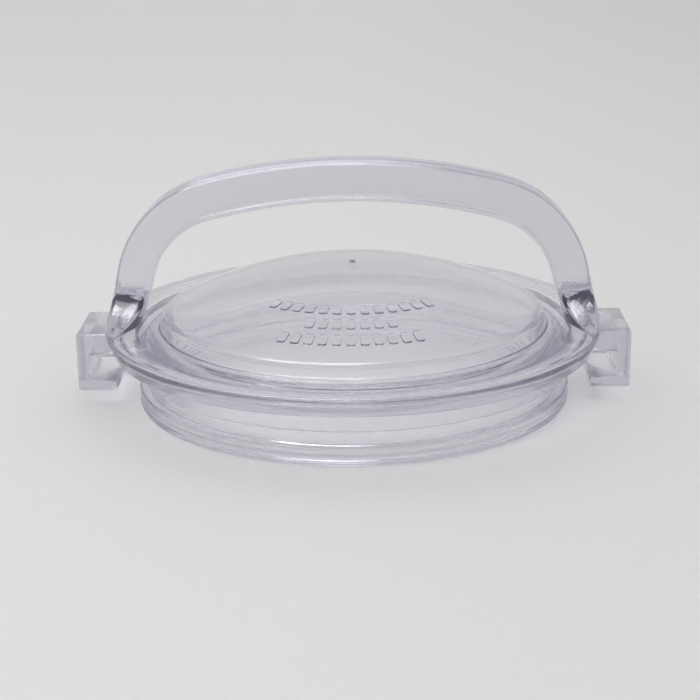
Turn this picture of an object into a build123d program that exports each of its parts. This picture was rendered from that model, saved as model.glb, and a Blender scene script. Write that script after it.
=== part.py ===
from build123d import *
import math
import os

# Clear strainer-pot lid with an arch handle and two claw ears.
# Millimetres. +Z is up, +X points at the right ear, and the origin is the centre of the spigot's foot.

# Rim, flange and skirt
rim_radius = 95.0
flange_top = 29.0
flange_underside = 26.0
rim_edge_round = 0.6
root_round = 0.8
skirt_foot = 21.6
skirt_foot_radius = 92.3
skirt_inner_radius = 89.2

# Spigot with its seal groove and foot bead
spigot_radius = 82.9
bore_radius = 76.0
bead_top = 7.0
groove_top = 12.7
groove_floor_radius = 79.2
foot_chamfer = 0.8

# Dome
dome_apex = 51.5
dome_radius = 158.0
dome_thickness = 4.0
dome_edge_radius = 72.7
dome_foot_radius = 74.3
step_inner_foot_radius = 70.4
step_inner_radius = 69.0
gate_radius = 1.6
gate_height = 0.9

# Handle
crown_top = 91.3
crown_radius = 228.0
crown_depth = 15.1
handle_width = 15.5
handle_edge_round = 2.1
outer_foot_x = 94.0
outer_leg_lean = 0.215
outer_shoulder_radius = 44.0
inner_foot_x = 81.2
inner_leg_lean = 0.30
inner_shoulder_radius = 30.0
gusset_height = 15.0
gusset_reach = 21.5
gusset_lean = 0.39
foot_limit_radius = 94.0

# Ears
ear_outer_x = 105.1
ear_wall = 4.6
ear_half_length = 15.7
ear_top = 28.0
ear_plate_foot = 20.2
ear_lip_top = 9.8
ear_lip_foot = 5.4
ear_lip_inner_x = 90.0
ear_edge_round = 0.8

# Raised marks on the dome: plain blocks in three arcs on the near side
mark_height = 0.5
mark_length = 5.4
mark_width = 3.6
mark_pitch = 4.9
mark_rows = [(45.0, 13), (53.4, 7), (61.8, 11)]

cut_reach = 150.0


def dome_height(radius, sphere_radius):
    """Height of a sphere that shares the dome's centre, at a distance from the axis."""
    return dome_apex - dome_radius + math.sqrt(sphere_radius**2 - radius**2)


def lathe(outline):
    """Turn a closed outline of (radius, height) points about the Z axis."""
    return revolve(Plane.XZ * make_face(Polyline(*outline, close=True)), Axis.Z)


def make_dome():
    """Spherical window on a short step, down to the flange."""
    inner_sphere = dome_radius - dome_thickness
    top = dome_height(dome_edge_radius, dome_radius)
    under = dome_height(step_inner_radius, inner_sphere)
    outer_mid = (dome_edge_radius / 2, dome_height(dome_edge_radius / 2, dome_radius))
    inner_mid = (step_inner_radius / 2, dome_height(step_inner_radius / 2, inner_sphere))
    outline = Curve() + [
        ThreePointArc((0, dome_apex), outer_mid, (dome_edge_radius, top)),
        Polyline(
            (dome_edge_radius, top),
            (dome_foot_radius, flange_top),
            (bore_radius, flange_top),
            (bore_radius, flange_underside),
            (step_inner_foot_radius, flange_underside),
            (step_inner_radius, under),
        ),
        ThreePointArc((step_inner_radius, under), inner_mid, (0, dome_apex - dome_thickness)),
        Line((0, dome_apex - dome_thickness), (0, dome_apex)),
    ]
    window = revolve(Plane.XZ * make_face(outline), Axis.Z)
    stub_base = dome_apex - dome_thickness / 2
    stub = extrude(Pos(0, 0, stub_base) * Circle(gate_radius), dome_thickness / 2 + gate_height)
    return window + stub


def root_bend(radius, side):
    """Quarter round from a wall at this radius up to the underside of the flange."""
    bend = root_round * (1 - math.sqrt(0.5))
    return ThreePointArc(
        (radius, flange_underside - root_round),
        (radius + side * bend, flange_underside - bend),
        (radius + side * root_round, flange_underside),
    )


def make_web():
    """Flat ring between the roots of the spigot and the skirt; the pot's edge seats under it."""
    inner = spigot_radius + root_round
    outer = skirt_inner_radius - root_round
    return lathe([
        (inner, flange_underside),
        (outer, flange_underside),
        (outer, flange_top),
        (inner, flange_top),
    ])


def make_skirt():
    """Short tapered skirt with the rounded edge of the rim above it."""
    edge_foot = flange_top - rim_edge_round
    edge_start = rim_radius - rim_edge_round
    bend = rim_edge_round * (1 - math.sqrt(0.5))
    root = skirt_inner_radius - root_round
    outline = Curve() + [
        Polyline(
            (rim_radius, edge_foot),
            (skirt_foot_radius, skirt_foot),
            (skirt_inner_radius, skirt_foot),
            (skirt_inner_radius, flange_underside - root_round),
        ),
        root_bend(skirt_inner_radius, -1),
        Polyline((root, flange_underside), (root, flange_top), (edge_start, flange_top)),
        ThreePointArc(
            (edge_start, flange_top),
            (rim_radius - bend, flange_top - bend),
            (rim_radius, edge_foot),
        ),
    ]
    return revolve(Plane.XZ * make_face(outline), Axis.Z)


def make_spigot():
    """Wall that enters the pot, with a groove for a round seal above the foot bead."""
    root = spigot_radius + root_round
    outline = Curve() + [
        Polyline(
            (bore_radius, foot_chamfer),
            (bore_radius + foot_chamfer, 0),
            (spigot_radius - foot_chamfer, 0),
            (spigot_radius, foot_chamfer),
            (spigot_radius, bead_top),
            (groove_floor_radius, bead_top),
            (groove_floor_radius, groove_top),
            (spigot_radius, groove_top),
            (spigot_radius, flange_underside - root_round),
        ),
        root_bend(spigot_radius, 1),
        Polyline(
            (root, flange_underside),
            (root, flange_top),
            (bore_radius, flange_top),
            (bore_radius, foot_chamfer),
        ),
    ]
    return revolve(Plane.XZ * make_face(outline), Axis.Z)


def arch_face(top, radius, foot_x, lean, shoulder_radius):
    """One filled arch outline: a shallow crown arc, two round shoulders and two leaning legs."""
    roof = top + 10
    roof_x = foot_x - lean * (roof - flange_top)
    legs = Polygon((-foot_x, flange_top), (foot_x, flange_top), (roof_x, roof), (-roof_x, roof), align=None)
    face = legs & (Pos(0, top - radius) * Circle(radius))
    corners = face.vertices().sort_by(Axis.Y)[-2:]
    return fillet(corners, shoulder_radius)


def make_gusset(side, front):
    """Concave web that spreads one foot of the handle along the rim, ending in a point."""
    start = handle_width / 2
    bend = 1 - math.sqrt(0.5)
    profile = make_face(Curve() + [
        ThreePointArc(
            (start, flange_top + gusset_height),
            (start + gusset_reach * bend, flange_top + gusset_height * bend),
            (start + gusset_reach, flange_top),
        ),
        Polyline(
            (start + gusset_reach, flange_top),
            (start - 1, flange_top),
            (start - 1, flange_top + gusset_height),
            (start, flange_top + gusset_height),
        ),
    ])
    web = extrude(Plane.YZ * profile, cut_reach)
    top_shift = outer_leg_lean * gusset_height
    footprint = Plane.XZ.offset(-start + 1) * Polygon(
        (inner_foot_x, flange_top),
        (outer_foot_x, flange_top),
        (outer_foot_x - top_shift, flange_top + gusset_height),
        (inner_foot_x - inner_leg_lean * gusset_height, flange_top + gusset_height),
        align=None,
    )
    web = web & extrude(footprint, cut_reach, dir=(0, 1, 0))
    plan = Pos(0, 0, flange_top) * Polygon(
        (inner_foot_x - inner_leg_lean * gusset_height, start - 1),
        (inner_foot_x, start - 1),
        (inner_foot_x + gusset_lean * gusset_reach, start + gusset_reach),
        (cut_reach, start + gusset_reach),
        (cut_reach, start - 1),
        align=None,
    )
    web = web & extrude(plan, gusset_height, dir=(0, 0, 1))
    web = web & extrude(Pos(0, 0, flange_top) * Circle(foot_limit_radius), gusset_height)
    if side < 0:
        web = mirror(web, Plane.YZ)
    if front:
        web = mirror(web, Plane.XZ)
    return web


def make_handle():
    """Arch of rounded rectangular bar standing on the flange."""
    outer = arch_face(crown_top, crown_radius, outer_foot_x, outer_leg_lean, outer_shoulder_radius)
    inner = arch_face(
        crown_top - crown_depth,
        crown_radius - crown_depth,
        inner_foot_x,
        inner_leg_lean,
        inner_shoulder_radius,
    )
    arch = extrude(Plane.XZ * (outer - inner), handle_width / 2, both=True)
    front_edges = arch.faces().sort_by(Axis.Y)[0].edges()
    back_edges = arch.faces().sort_by(Axis.Y)[-1].edges()
    long_edges = [edge for edge in front_edges + back_edges if edge.center().Z > flange_top + 0.1]
    arch = fillet(long_edges, handle_edge_round)
    for side in (-1, 1):
        for front in (True, False):
            arch = arch + make_gusset(side, front)
    return arch


def make_ear():
    """Right-hand claw: top plate, outer wall and bottom lip, cut to sit against the rim."""
    section = Polygon(
        (ear_lip_inner_x, ear_lip_foot),
        (ear_outer_x, ear_lip_foot),
        (ear_outer_x, ear_top),
        (skirt_inner_radius, ear_top),
        (skirt_inner_radius, ear_plate_foot),
        (ear_outer_x - ear_wall, ear_plate_foot),
        (ear_outer_x - ear_wall, ear_lip_top),
        (ear_lip_inner_x, ear_lip_top),
        align=None,
    )
    claw = extrude(Plane.XZ * section, ear_half_length, both=True)
    outer_edges = claw.faces().sort_by(Axis.X)[-1].edges()
    claw = fillet(outer_edges, ear_edge_round)
    edge_foot = flange_top - rim_edge_round
    rim = lathe([
        (0, ear_lip_top + 1),
        (skirt_foot_radius, ear_lip_top + 1),
        (skirt_foot_radius, skirt_foot),
        (rim_radius, edge_foot),
        (rim_radius, ear_top + 1),
        (0, ear_top + 1),
    ])
    return claw - rim


def make_marks():
    """Plain raised blocks on the dome, in arcs that face the near side."""
    shell = Sphere(dome_radius + mark_height) - Sphere(dome_radius)
    shell = Pos(0, 0, dome_apex - dome_radius) * shell
    marks = []
    for row_radius, count in mark_rows:
        pitch_angle = math.degrees(mark_pitch / row_radius)
        for index in range(count):
            angle = -90 + pitch_angle * (index - (count - 1) / 2)
            plan = Rot(0, 0, angle) * Pos(row_radius, 0, 0) * RectangleRounded(mark_length, mark_width, 0.8)
            column = extrude(plan, dome_apex + mark_height)
            column = column & (Pos(0, 0, dome_apex) * Box(400, 400, dome_apex))
            marks.append(column & shell)
    return Compound(children=[solid for mark in marks for solid in mark.solids()])


def main():
    ear = make_ear()
    nodes = {
        "dome_window": make_dome(),
        "flange_web": make_web(),
        "rim_skirt": make_skirt(),
        "seal_spigot": make_spigot(),
        "handle_arch": make_handle(),
        "right_ear": ear,
        "left_ear": mirror(ear, Plane.YZ),
        "raised_marks": make_marks(),
    }
    os.makedirs("parts", exist_ok=True)
    for name, shape in nodes.items():
        export_step(shape, f"parts/{name}.step")


main()
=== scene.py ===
"""Clear strainer lid with a carrying handle, as one clear moulding on a pale floor.

Metres, in the CAD frame: +Z up, +X towards the right ear, the raised marks on the -Y side.
"""
import math

import bmesh
import bpy
from mathutils import Matrix, Vector


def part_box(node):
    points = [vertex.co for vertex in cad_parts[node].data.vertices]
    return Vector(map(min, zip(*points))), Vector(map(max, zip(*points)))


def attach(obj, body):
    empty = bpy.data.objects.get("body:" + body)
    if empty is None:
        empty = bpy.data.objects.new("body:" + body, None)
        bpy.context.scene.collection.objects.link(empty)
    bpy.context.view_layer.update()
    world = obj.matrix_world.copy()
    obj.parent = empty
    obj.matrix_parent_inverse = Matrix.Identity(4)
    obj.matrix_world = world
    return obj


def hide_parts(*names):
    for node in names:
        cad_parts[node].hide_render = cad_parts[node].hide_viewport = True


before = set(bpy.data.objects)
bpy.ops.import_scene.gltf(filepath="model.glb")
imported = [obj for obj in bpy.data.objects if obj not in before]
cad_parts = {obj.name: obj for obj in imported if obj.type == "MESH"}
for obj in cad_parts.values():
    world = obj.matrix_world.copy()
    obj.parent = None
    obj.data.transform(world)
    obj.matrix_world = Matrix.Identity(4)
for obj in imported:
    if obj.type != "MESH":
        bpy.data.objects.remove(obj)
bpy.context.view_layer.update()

mm = 0.001

# Levels and reaches read from the frame
WEB_LOW, WEB_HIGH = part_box("flange_web")
EAR_LOW, EAR_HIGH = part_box("right_ear")
FLANGE_TOP = WEB_HIGH.z
FLANGE_UNDERSIDE = WEB_LOW.z
SKIRT_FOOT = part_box("rim_skirt")[0].z
BORE_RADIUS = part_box("dome_window")[1].x
HANDLE_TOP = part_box("handle_arch")[1].z
EAR_OUTER = EAR_HIGH.x
EAR_HALF_LENGTH = EAR_HIGH.y
EAR_TOP = EAR_HIGH.z
EAR_FOOT = EAR_LOW.z

# Lid section
RIM_RADIUS = 95.0 * mm
RIM_ROUND = 0.6 * mm
SKIRT_FOOT_RADIUS = 92.3 * mm
SKIRT_INNER_RADIUS = 89.2 * mm
SPIGOT_RADIUS = 82.9 * mm
GROOVE_FLOOR_RADIUS = 79.2 * mm
GROOVE_FOOT = 7.0 * mm
GROOVE_TOP = 12.7 * mm
BEAD_VALLEYS = (4.7 * mm, 2.5 * mm)
VALLEY_DEPTH = 0.4 * mm
VALLEY_HALF_WIDTH = 0.9 * mm
DOME_TOP = 51.5 * mm
DOME_SPHERE = 158.0 * mm
DOME_WALL = 4.0 * mm
DOME_EDGE_RADIUS = 72.7 * mm
DOME_FOOT_RADIUS = 74.3 * mm
STEP_INNER_RADIUS = 69.0 * mm
STEP_INNER_FOOT = 70.4 * mm
GATE_RADIUS = 1.1 * mm
GATE_HEIGHT = 0.8 * mm
PIP_RADIUS = 1.3 * mm
PIP_DROP = 1.8 * mm

# Handle
CROWN_RADIUS = 228.0 * mm
CROWN_DEPTH = 15.1 * mm
HANDLE_WIDTH = 15.5 * mm
HANDLE_ROUND = 2.1 * mm
OUTER_FOOT_X = 93.8 * mm
OUTER_LEAN = 0.215
OUTER_SHOULDER = 44.0 * mm
INNER_FOOT_X = 81.2 * mm
INNER_LEAN = 0.30
INNER_SHOULDER = 30.0 * mm
WEB_HEIGHT = 15.0 * mm
WEB_REACH = 19.8 * mm
WEB_LEAN = 0.39
WEB_BOW = 1.13
WEB_SOFTNESS = 2.0 * mm
FOOT_SINK = 1.5 * mm
FOOT_LIMIT_RADIUS = 94.0 * mm

# Ears
EAR_WALL = 4.6 * mm
EAR_PLATE_FOOT = 20.2 * mm
EAR_LIP_TOP = 9.8 * mm
EAR_LIP_INNER = 90.0 * mm
EAR_ROUND = 1.1 * mm

# Raised marks
MARK_HEIGHT = 0.5 * mm
MARK_SINK = 1.0 * mm
MARK_TAPER = 0.25 * mm
MARK_CORNER = 0.8 * mm
MARK_LENGTH = 5.4 * mm
MARK_WIDTH = 3.6 * mm
MARK_PITCH = 4.9 * mm
MARK_ROWS = [(45.0 * mm, 13), (53.4 * mm, 7), (61.8 * mm, 11)]

SEGMENTS = 192

# Looks
TINT = (0.50, 0.47, 0.615, 1)
TINT_DENSITY = 19
LID_ROUGHNESS = 0.03
WEAR_ROUGHNESS = 0.05
LID_CLARITY = 0.985
EAR_ROUGHNESS = 0.15
EAR_CLARITY = 0.86
WAVE_STRENGTH = 0.035
FOOT_RIPPLE = 30
SHADOW_TINT = (0.985, 0.985, 0.985, 1)

# Room, softbox and overhead cards
ROOM_LEVEL = 0.675
FRONT_LEVEL = 0.62
SOFTBOX_POWER = 2.0
SOFTBOX_PLACE = (-0.45, -0.30, 1.15)
SOFTBOX_AIM = (-0.1, 0, 0.03)
SOFTBOX_SIZE = (0.65, 0.14)
OVERHEAD_CARD_LEVEL = 7.5
FRONT_CARD_LEVEL = 5.0
CARD_WIDTH = 1.1
CARD_CENTRE = -0.25
CARD_HEIGHT = 1.1
CARD_FADE = 0.75


# Mesh helpers

def new_object(name, mesh):
    """Link a new object with this mesh."""
    obj = bpy.data.objects.new(name, mesh)
    bpy.context.scene.collection.objects.link(obj)
    return obj


def mesh_from(bm, name):
    """Turn a bmesh into an object with outward normals."""
    bmesh.ops.recalc_face_normals(bm, faces=bm.faces)
    mesh = bpy.data.meshes.new(name)
    bm.to_mesh(mesh)
    bm.free()
    return new_object(name, mesh)


def ring_mesh(name, rings, cap=True):
    """Closed skin through a list of rings that all have the same number of points."""
    bm = bmesh.new()
    skin = [[bm.verts.new(point) for point in ring] for ring in rings]
    for lower, upper in zip(skin, skin[1:]):
        for index in range(len(lower)):
            after = (index + 1) % len(lower)
            bm.faces.new((lower[index], lower[after], upper[after], upper[index]))
    if cap:
        bm.faces.new(skin[0])
        bm.faces.new(skin[-1])
    return mesh_from(bm, name)


def arc(centre, radius, start, end, count):
    """Points on an arc in the section plane; angles in radians."""
    points = []
    for step in range(count + 1):
        angle = start + (end - start) * step / count
        points.append((centre[0] + radius * math.cos(angle), centre[1] + radius * math.sin(angle)))
    return points


def rounded(corners, steps=6):
    """Open outline in which each (x, z, radius) corner becomes a tangent arc."""
    points = [corners[0][:2]]
    for before, corner, after in zip(corners, corners[1:], corners[2:]):
        here = Vector(corner[:2])
        radius = corner[2]
        inward = (Vector(before[:2]) - here).normalized()
        outward = (Vector(after[:2]) - here).normalized()
        if radius == 0:
            points.append(tuple(here))
            continue
        half_turn = inward.angle(outward) / 2
        centre = here + (inward + outward).normalized() * (radius / math.sin(half_turn))
        reach = radius / math.tan(half_turn)
        first = here + inward * reach - centre
        last = here + outward * reach - centre
        sweep = math.atan2(first.x * last.y - first.y * last.x, first.dot(last))
        start = math.atan2(first.y, first.x)
        points += arc(centre, radius, start, start + sweep, steps)
    points.append(corners[-1][:2])
    return points


def lathe(name, outline, segments=SEGMENTS):
    """Turn a section from the axis back to the axis into a closed body."""
    bm = bmesh.new()
    rings = []
    for radius, height in outline:
        if radius < 1e-6:
            rings.append([bm.verts.new((0, 0, height))])
            continue
        ring = []
        for step in range(segments):
            angle = 2 * math.pi * step / segments
            ring.append(bm.verts.new((radius * math.cos(angle), radius * math.sin(angle), height)))
        rings.append(ring)
    for lower, upper in zip(rings, rings[1:]):
        for index in range(segments):
            after = (index + 1) % segments
            if len(lower) == 1:
                bm.faces.new((lower[0], upper[index], upper[after]))
            elif len(upper) == 1:
                bm.faces.new((lower[index], lower[after], upper[0]))
            else:
                bm.faces.new((lower[index], lower[after], upper[after], upper[index]))
    return mesh_from(bm, name)


def fuse(base, tools):
    """Exact union of closed bodies into one body."""
    for tool in tools:
        union = base.modifiers.new("union", "BOOLEAN")
        union.operation = "UNION"
        union.solver = "EXACT"
        union.object = tool
    depsgraph = bpy.context.evaluated_depsgraph_get()
    mesh = bpy.data.meshes.new_from_object(base.evaluated_get(depsgraph))
    for body in [base, *tools]:
        bpy.data.objects.remove(body)
    return mesh


# Lid body

def dome_height(radius, sphere):
    """Height of a sphere about the dome's centre, at a distance from the axis."""
    return DOME_TOP - DOME_SPHERE + math.sqrt(sphere**2 - radius**2)


def dome_points(first, last, sphere, count):
    """Points along the dome's section from one radius to another."""
    points = []
    for step in range(count + 1):
        radius = first + (last - first) * step / count
        points.append((radius, dome_height(radius, sphere)))
    return points


def bead_ridges():
    """Shallow valleys that part the foot bead into fine ridges."""
    corners = []
    for valley in BEAD_VALLEYS:
        corners.append((SPIGOT_RADIUS, valley + VALLEY_HALF_WIDTH, 0.9 * mm))
        corners.append((SPIGOT_RADIUS - VALLEY_DEPTH, valley, 0.2 * mm))
        corners.append((SPIGOT_RADIUS, valley - VALLEY_HALF_WIDTH, 0.9 * mm))
    return corners


def lid_outline():
    """Section of the dome, flange, skirt and spigot, from the apex outside to the apex inside."""
    inner_sphere = DOME_SPHERE - DOME_WALL
    crown = dome_points(GATE_RADIUS * 1.6, DOME_EDGE_RADIUS - 2.0 * mm, DOME_SPHERE, 40)
    vault = dome_points(STEP_INNER_RADIUS - 2.0 * mm, PIP_RADIUS, inner_sphere, 40)
    gate_top = DOME_TOP + GATE_HEIGHT
    gate = rounded([
        (0, gate_top, 0),
        (GATE_RADIUS * 0.9, gate_top, 0.3 * mm),
        (GATE_RADIUS * 1.05, dome_height(GATE_RADIUS, DOME_SPHERE), 0.2 * mm),
        crown[0] + (0,),
    ], steps=4)
    slope = (RIM_RADIUS - SKIRT_FOOT_RADIUS) / (FLANGE_TOP - SKIRT_FOOT)
    outside = rounded([
        crown[-1] + (0,),
        (DOME_EDGE_RADIUS, dome_height(DOME_EDGE_RADIUS, DOME_SPHERE), 2.4 * mm),
        (DOME_FOOT_RADIUS, FLANGE_TOP, 1.2 * mm),
        (RIM_RADIUS + slope * RIM_ROUND - 0.03 * mm, FLANGE_TOP, RIM_ROUND),
        (SKIRT_FOOT_RADIUS, SKIRT_FOOT, 0.5 * mm),
        (SKIRT_INNER_RADIUS, SKIRT_FOOT, 0.5 * mm),
        (SKIRT_INNER_RADIUS + 0.2 * mm, FLANGE_UNDERSIDE, 0.8 * mm),
        (SPIGOT_RADIUS, FLANGE_UNDERSIDE, 0.8 * mm),
        (SPIGOT_RADIUS, GROOVE_TOP, 0.4 * mm),
        (GROOVE_FLOOR_RADIUS, GROOVE_TOP, 0.6 * mm),
        (GROOVE_FLOOR_RADIUS, GROOVE_FOOT, 0.6 * mm),
        (SPIGOT_RADIUS, GROOVE_FOOT, 0.9 * mm),
        *bead_ridges(),
        (SPIGOT_RADIUS, 0, 1.0 * mm),
        (BORE_RADIUS, 0, 1.2 * mm),
        (BORE_RADIUS, FLANGE_UNDERSIDE, 1.5 * mm),
        (STEP_INNER_FOOT, FLANGE_UNDERSIDE, 1.5 * mm),
        (STEP_INNER_RADIUS, dome_height(STEP_INNER_RADIUS, inner_sphere), 2.4 * mm),
        vault[0] + (0,),
    ], steps=5)
    pip_foot = DOME_TOP - DOME_WALL - PIP_DROP
    pip = [(PIP_RADIUS, pip_foot + 0.5 * mm), (PIP_RADIUS * 0.7, pip_foot), (0, pip_foot)]
    return gate[:-1] + crown + outside[1:-1] + vault + pip


# Handle

def shoulder(crown_radius, centre_z, foot_x, lean, radius):
    """Centre of the shoulder arc and the angles at which it meets the crown and the leg."""
    slant = math.hypot(1, lean)
    offset_x = foot_x - radius * slant
    reach = crown_radius - radius
    # The arc's centre lies on the leg line moved inwards and on a circle about the crown's centre.
    base = offset_x - lean * (centre_z - FLANGE_TOP)
    a = 1 + lean**2
    b = -2 * base * lean
    c = base**2 - reach**2
    rise = (-b + math.sqrt(b**2 - 4 * a * c)) / (2 * a)
    x = base - lean * rise
    start = math.atan2(rise, x)
    end = math.atan2(lean, 1)
    return (x, centre_z + rise), start, end


def arch_line(crown_radius, centre_z, foot_x, lean, radius):
    """Right half of one arch outline, from the crown to the foot, in matching steps."""
    centre, start, end = shoulder(crown_radius, centre_z, foot_x, lean, radius)
    crown = arc((0, centre_z), crown_radius, math.pi / 2, start, 26)
    bend = arc(centre, radius, start, end, 22)
    top = Vector(bend[-1])
    foot = Vector((foot_x, FLANGE_TOP))
    leg = [tuple(top.lerp(foot, step / 24)) for step in range(1, 25)]
    return crown + bend[1:] + leg


def web_half_depth(height):
    """Half of the handle's depth: plain on the arch, flared where the web joins the rim."""
    half = HANDLE_WIDTH / 2
    drop = FLANGE_TOP + WEB_HEIGHT - height
    if drop <= 0:
        return half
    deepest = WEB_HEIGHT * WEB_BOW
    flare = 1 - math.sqrt(1 - min(drop / deepest, 0.999) ** 2)
    full = 1 - math.sqrt(1 - (WEB_HEIGHT / deepest) ** 2)
    return half + WEB_REACH * min(flare / full, 1)


def bar_ring(outer, inner):
    """One ring of the bar between an outer and an inner outline point, with rounded edges."""
    outer = Vector((outer[0], 0, outer[1]))
    inner = Vector((inner[0], 0, inner[1]))
    width = (outer - inner).length
    height = (outer.z + inner.z) / 2
    depth = web_half_depth(height)
    near_foot = height < FLANGE_TOP + WEB_HEIGHT

    def outer_inset(y):
        if not near_foot:
            return 0
        return max(0, outer.x - math.sqrt(FOOT_LIMIT_RADIUS**2 - y**2))

    def inner_inset(y):
        if not near_foot:
            return 0
        past = abs(y) - HANDLE_WIDTH / 2
        rise = math.log1p(math.exp(past / WEB_SOFTNESS))
        start = math.log1p(math.exp(-HANDLE_WIDTH / 2 / WEB_SOFTNESS))
        return WEB_LEAN * WEB_SOFTNESS * rise - WEB_LEAN * WEB_SOFTNESS * start

    tip_width = width - outer_inset(depth) - inner_inset(depth)
    edge = min(HANDLE_ROUND, max(0.1 * mm, tip_width * 0.35))
    flat = depth - edge
    bend = [-flat - edge * math.cos(step * math.pi / 14) for step in range(7)]
    ys = bend + [-flat + 2 * flat * step / 16 for step in range(17)] + [-y for y in reversed(bend)]

    def side(y):
        past = max(0, abs(y) - flat)
        return edge - math.sqrt(max(0, edge**2 - past**2))

    across = (outer - inner) / width
    ring = []
    for y in ys:
        place = width - outer_inset(y) - side(y)
        ring.append(inner + across * place + Vector((0, y, 0)))
    for y in reversed(ys):
        place = inner_inset(y) + side(y)
        ring.append(inner + across * place + Vector((0, y, 0)))
    return ring


def make_handle():
    """The arch with its flared feet, sunk a little into the flange so that it fuses cleanly."""
    centre_z = HANDLE_TOP - CROWN_RADIUS
    outer = arch_line(CROWN_RADIUS, centre_z, OUTER_FOOT_X, OUTER_LEAN, OUTER_SHOULDER)
    inner_radius = CROWN_RADIUS - CROWN_DEPTH
    inner = arch_line(inner_radius, centre_z, INNER_FOOT_X, INNER_LEAN, INNER_SHOULDER)
    half = [bar_ring(a, b) for a, b in zip(outer, inner)]
    sunk = [point - Vector((0, 0, FOOT_SINK)) for point in half[-1]]
    half.append(sunk)
    mirrored = [[Vector((-p.x, p.y, p.z)) for p in ring] for ring in reversed(half[1:])]
    return ring_mesh("handle", mirrored + half)


# Ears and marks

def make_ear(side):
    """C-shaped claw with softly rounded edges, its plate sunk into the rim."""
    section = [
        (EAR_LIP_INNER, EAR_FOOT),
        (EAR_OUTER, EAR_FOOT),
        (EAR_OUTER, EAR_TOP),
        (RIM_RADIUS - 4.5 * mm, EAR_TOP),
        (RIM_RADIUS - 4.5 * mm, EAR_PLATE_FOOT + 1.5 * mm),
        (RIM_RADIUS - 2.4 * mm, EAR_PLATE_FOOT),
        (EAR_OUTER - EAR_WALL, EAR_PLATE_FOOT),
        (EAR_OUTER - EAR_WALL, EAR_LIP_TOP),
        (EAR_LIP_INNER, EAR_LIP_TOP),
    ]
    bm = bmesh.new()
    near = [bm.verts.new((side * x, -EAR_HALF_LENGTH, z)) for x, z in section]
    far = [bm.verts.new((side * x, EAR_HALF_LENGTH, z)) for x, z in section]
    count = len(section)
    for index in range(count):
        after = (index + 1) % count
        bm.faces.new((near[index], near[after], far[after], far[index]))
    bm.faces.new(near)
    bm.faces.new(far)
    bmesh.ops.bevel(
        bm, geom=bm.edges[:], offset=EAR_ROUND, segments=3, profile=0.5, affect="EDGES",
    )
    return mesh_from(bm, "ear")


def make_marks():
    """Plain rounded blocks on the dome, in arcs on the near side."""
    bm = bmesh.new()
    levels = ((DOME_SPHERE - MARK_SINK, 0), (DOME_SPHERE + MARK_HEIGHT, MARK_TAPER))
    for row_radius, count in MARK_ROWS:
        pitch = MARK_PITCH / row_radius
        for index in range(count):
            angle = -math.pi / 2 + pitch * (index - (count - 1) / 2)
            outward = Vector((math.cos(angle), math.sin(angle), 0))
            along = Vector((-math.sin(angle), math.cos(angle), 0))
            loops = []
            for sphere, shrink in levels:
                loop = []
                size_a, size_b = MARK_LENGTH - shrink * 2, MARK_WIDTH - shrink * 2
                for a, b in block_outline(size_a, size_b, MARK_CORNER):
                    point = outward * (row_radius + a) + along * b
                    radius = point.length
                    loop.append(bm.verts.new((point.x, point.y, dome_height(radius, sphere))))
                loops.append(loop)
            lower, upper = loops
            size = len(lower)
            for step in range(size):
                after = (step + 1) % size
                bm.faces.new((lower[step], lower[after], upper[after], upper[step]))
            bm.faces.new(lower)
            bm.faces.new(upper)
    return mesh_from(bm, "marks")


def block_outline(length, width, radius):
    """Rounded rectangle outline in its own plane."""
    points = []
    for quarter in range(4):
        side_a = 1 if quarter in (0, 3) else -1
        side_b = 1 if quarter in (0, 1) else -1
        centre = (side_a * (length / 2 - radius), side_b * (width / 2 - radius))
        start = quarter * math.pi / 2
        points += arc(centre, radius, start, start + math.pi / 2, 3)
    return points


# Materials

def node_maker(material):
    """Short ways to add a node and to link two sockets in one material."""
    nodes = material.node_tree.nodes
    links = material.node_tree.links

    def add(kind, **values):
        node = nodes.new(kind)
        for name, value in values.items():
            node.inputs[name.replace("_", " ")].default_value = value
        return node

    return nodes, links, add


def map_range(add, links, source, low, high, to_low, to_high):
    """Rescale a value with a clamped linear ramp."""
    ramp = add("ShaderNodeMapRange", From_Min=low, From_Max=high, To_Min=to_low, To_Max=to_high)
    links.new(source, ramp.inputs["Value"])
    return ramp.outputs["Result"]


def maths(add, links, operation, first, second=None):
    """One Math node."""
    node = add("ShaderNodeMath")
    node.operation = operation
    links.new(first, node.inputs[0])
    if second is not None:
        links.new(second, node.inputs[1])
    return node.outputs[0]


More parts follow.
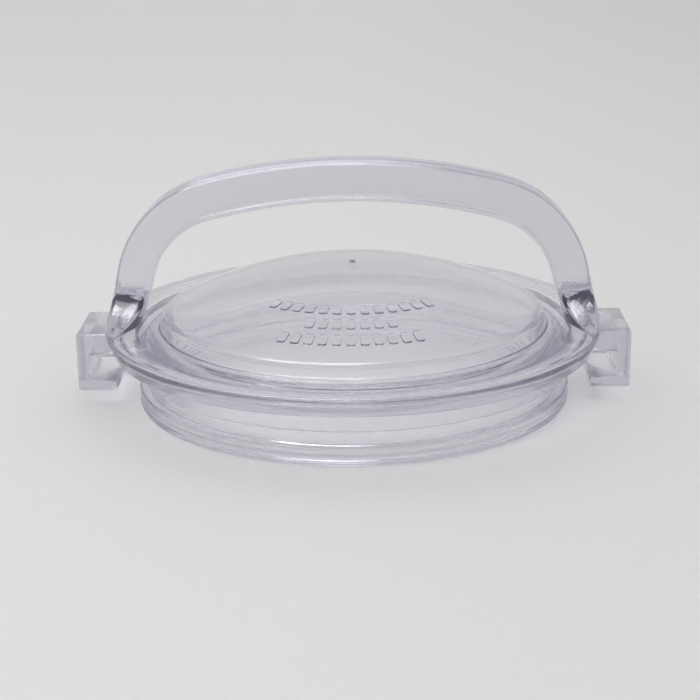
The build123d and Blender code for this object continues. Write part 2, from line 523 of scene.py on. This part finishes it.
def clear_plastic(name):
    """Clear polycarbonate with a violet-grey depth tint, a wavy skin, wear and hazier ears."""
    material = bpy.data.materials.new(name)
    material.use_nodes = True
    nodes, links, add = node_maker(material)
    shader = nodes["Principled BSDF"]
    shader.inputs["Base Color"].default_value = (0.93, 0.93, 0.95, 1)
    shader.inputs["IOR"].default_value = 1.585
    place = nodes.new("ShaderNodeTexCoord").outputs["Object"]

    # Haze: 0 on the lid, 1 on the ears
    split = nodes.new("ShaderNodeSeparateXYZ")
    links.new(place, split.inputs["Vector"])
    level = split.outputs["Z"]
    sideways = maths(add, links, "ABSOLUTE", split.outputs["X"])
    past_rim = map_range(add, links, sideways, RIM_RADIUS - 2.2 * mm, RIM_RADIUS + 0.4 * mm, 0, 1)
    below_top = map_range(add, links, level, EAR_TOP + 0.2 * mm, EAR_TOP + 0.6 * mm, 1, 0)
    haze = maths(add, links, "MULTIPLY", past_rim, below_top)

    # Fine wear in the gloss
    wear = add("ShaderNodeTexNoise", Scale=700, Detail=6)
    links.new(place, wear.inputs["Vector"])
    worn = LID_ROUGHNESS + WEAR_ROUGHNESS
    fine = map_range(add, links, wear.outputs["Fac"], 0.45, 0.75, LID_ROUGHNESS, worn)
    frosted = map_range(add, links, haze, 0, 1, 0, EAR_ROUGHNESS)
    links.new(maths(add, links, "ADD", fine, frosted), shader.inputs["Roughness"])
    clarity = map_range(add, links, haze, 0, 1, LID_CLARITY, EAR_CLARITY)
    links.new(clarity, shader.inputs["Transmission Weight"])

    # Faint waves all over, and stronger moulding ripples in the feet of the handle
    wave = add("ShaderNodeTexNoise", Scale=55, Detail=2)
    links.new(place, wave.inputs["Vector"])
    ripple = add("ShaderNodeTexNoise", Scale=330, Detail=3)
    links.new(place, ripple.inputs["Vector"])
    past_legs = map_range(add, links, sideways, 78 * mm, 81 * mm, 0, FOOT_RIPPLE)
    above_rim = map_range(add, links, level, FLANGE_TOP + 2 * mm, FLANGE_TOP + 5 * mm, 0, 1)
    below_leg = map_range(add, links, level, FLANGE_TOP + 13 * mm, FLANGE_TOP + 17 * mm, 1, 0)
    in_band = maths(add, links, "MULTIPLY", above_rim, below_leg)
    in_foot = maths(add, links, "MULTIPLY", in_band, past_legs)
    ripples = maths(add, links, "MULTIPLY", ripple.outputs["Fac"], in_foot)
    bump = add("ShaderNodeBump", Strength=WAVE_STRENGTH, Distance=0.001)
    links.new(maths(add, links, "ADD", wave.outputs["Fac"], ripples), bump.inputs["Height"])
    links.new(bump.outputs["Normal"], shader.inputs["Normal"])
    absorb = add("ShaderNodeVolumeAbsorption", Color=TINT, Density=TINT_DENSITY)
    links.new(absorb.outputs["Volume"], nodes["Material Output"].inputs["Volume"])

    # Light passes the clear skin, so shadows stay faint
    passing = add("ShaderNodeBsdfTransparent", Color=SHADOW_TINT)
    path = nodes.new("ShaderNodeLightPath")
    blend = nodes.new("ShaderNodeMixShader")
    links.new(path.outputs["Is Shadow Ray"], blend.inputs["Fac"])
    links.new(shader.outputs["BSDF"], blend.inputs[1])
    links.new(passing.outputs["BSDF"], blend.inputs[2])
    links.new(blend.outputs["Shader"], nodes["Material Output"].inputs["Surface"])
    return material


def floor_material():
    """Pale matt paper with painted shade: its colour is a little darker towards the right,
    standing in for the softbox's light falling off.
    """
    material = bpy.data.materials.new("pale_floor")
    material.use_nodes = True
    nodes, links, add = node_maker(material)
    shader = nodes["Principled BSDF"]
    shader.inputs["Roughness"].default_value = 0.6
    shader.inputs["Specular IOR Level"].default_value = 0.3
    place = nodes.new("ShaderNodeTexCoord").outputs["Object"]
    grain = add("ShaderNodeTexNoise", Scale=300)
    links.new(place, grain.inputs["Vector"])
    speckle = map_range(add, links, grain.outputs["Fac"], 0, 1, 0.895, 0.915)
    split = nodes.new("ShaderNodeSeparateXYZ")
    links.new(place, split.inputs["Vector"])
    # Painted shade: the paper's colour darkens towards the right in place of the softbox's light
    # fall-off
    painted_falloff = map_range(add, links, split.outputs["X"], -0.02, 0.5, 1, 0.88)
    links.new(maths(add, links, "MULTIPLY", speckle, painted_falloff), shader.inputs["Base Color"])
    return material


# Building

def make_lid():
    """Fuse every zone of the moulding into one clear body that stands for the CAD nodes."""
    body = lathe("body", lid_outline())
    handle = make_handle()
    ears = [make_ear(side) for side in (-1, 1)]
    marks = make_marks()
    mesh = fuse(body, [handle, *ears, marks])
    mesh.name = "clear_lid"
    mesh.materials.clear()
    mesh.materials.append(clear_plastic("clear_polycarbonate"))
    lid = new_object("clear_lid", mesh)
    for polygon in mesh.polygons:
        polygon.use_smooth = True
    mesh.set_sharp_from_angle(angle=math.radians(32))
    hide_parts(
        "dome_window", "flange_web", "rim_skirt", "seal_spigot",
        "handle_arch", "left_ear", "right_ear", "raised_marks",
    )
    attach(lid, "root")
    return lid


def make_floor():
    """A wide pale floor under the lid."""
    bm = bmesh.new()
    bmesh.ops.create_grid(bm, x_segments=8, y_segments=8, size=6)
    floor = mesh_from(bm, "floor")
    floor.location.z = -0.02 * mm
    floor.data.materials.append(floor_material())


def make_softbox():
    """Soft light overhead to the left, hidden from rays that come through the lid."""
    data = bpy.data.lights.new("softbox", "AREA")
    data.shape = "RECTANGLE"
    data.size, data.size_y = SOFTBOX_SIZE
    data.energy = SOFTBOX_POWER
    lamp = bpy.data.objects.new("softbox", data)
    lamp.location = SOFTBOX_PLACE
    lamp.rotation_mode = "QUATERNION"
    sight = Vector(SOFTBOX_AIM) - Vector(SOFTBOX_PLACE)
    lamp.rotation_quaternion = sight.to_track_quat("-Z", "Y")
    lamp.visible_transmission = False
    bpy.context.scene.collection.objects.link(lamp)


def make_card(name, front, back, glow_level, seen_through_lid):
    """White card overhead, from front to back along Y, that shows only as a sheen in the lid."""
    bm = bmesh.new()
    bmesh.ops.create_grid(bm, x_segments=1, y_segments=1, size=0.5)
    card = mesh_from(bm, name)
    card.scale = (CARD_WIDTH, back - front, 1)
    card.location = (CARD_CENTRE, (front + back) / 2, CARD_HEIGHT)
    for kind in ("camera", "diffuse", "volume_scatter", "shadow"):
        setattr(card, "visible_" + kind, False)
    card.visible_transmission = seen_through_lid
    material = bpy.data.materials.new(name + "_glow")
    material.use_nodes = True
    nodes, links, add = node_maker(material)
    nodes.remove(nodes["Principled BSDF"])
    glow = add("ShaderNodeEmission")
    split = nodes.new("ShaderNodeSeparateXYZ")
    links.new(nodes.new("ShaderNodeTexCoord").outputs["Generated"], split.inputs["Vector"])
    level = map_range(add, links, split.outputs["X"], CARD_FADE, 1, glow_level, 0)
    links.new(level, glow.inputs["Strength"])
    links.new(glow.outputs["Emission"], nodes["Material Output"].inputs["Surface"])
    material.cycles.emission_sampling = "NONE"
    card.data.materials.append(material)


def make_room():
    """Even, pale room, a little dimmer behind the camera."""
    world = bpy.data.worlds.new("room")
    world.use_nodes = True
    nodes, links, add = node_maker(world)
    direction = nodes.new("ShaderNodeTexCoord").outputs["Generated"]
    towards_front = add("ShaderNodeVectorMath")
    towards_front.operation = "DOT_PRODUCT"
    towards_front.inputs[1].default_value = Vector((0, -1, 0.12)).normalized()
    links.new(direction, towards_front.inputs[0])
    facing = towards_front.outputs["Value"]
    level = map_range(add, links, facing, 0.62, 0.95, ROOM_LEVEL, FRONT_LEVEL)
    links.new(level, nodes["Background"].inputs["Strength"])
    nodes["Background"].inputs["Color"].default_value = (1, 1, 1, 1)
    bpy.context.scene.world = world


def make_camera():
    """Camera a little above the lid, slightly rolled and turned."""
    elevation = math.radians(17.64)
    turn = math.radians(-1.02)
    roll = math.radians(-0.745)
    distance = 637.1 * mm
    focal_length = 83.63
    level_forward = Vector((math.sin(turn), math.cos(turn), 0))
    forward = level_forward * math.cos(elevation) - Vector((0, 0, math.sin(elevation)))
    level_right = Vector((math.cos(turn), -math.sin(turn), 0))
    level_up = level_right.cross(forward)
    right = level_right * math.cos(roll) + level_up * math.sin(roll)
    up = right.cross(forward)
    aim = right * (-1.6 * mm) + up * (15.25 * mm)
    data = bpy.data.cameras.new("camera")
    data.lens = focal_length
    data.clip_start = 0.05
    camera = bpy.data.objects.new("camera", data)
    camera.location = aim - forward * distance
    basis = [right, up, -forward]
    matrix = [[axis[row] for axis in basis] for row in range(3)]
    camera.rotation_mode = "QUATERNION"
    camera.rotation_quaternion = Matrix(matrix).to_quaternion()
    bpy.context.scene.collection.objects.link(camera)
    bpy.context.scene.camera = camera


def main():
    scene = bpy.context.scene
    scene.view_settings.view_transform = "Standard"
    scene.cycles.max_bounces = 64
    scene.cycles.transmission_bounces = 64
    scene.cycles.glossy_bounces = 32
    make_camera()
    make_lid()
    make_floor()
    make_card("overhead_card", -0.42, 0.06, OVERHEAD_CARD_LEVEL, False)
    make_card("front_card", -0.80, -0.42, FRONT_CARD_LEVEL, True)
    make_softbox()
    make_room()


main()
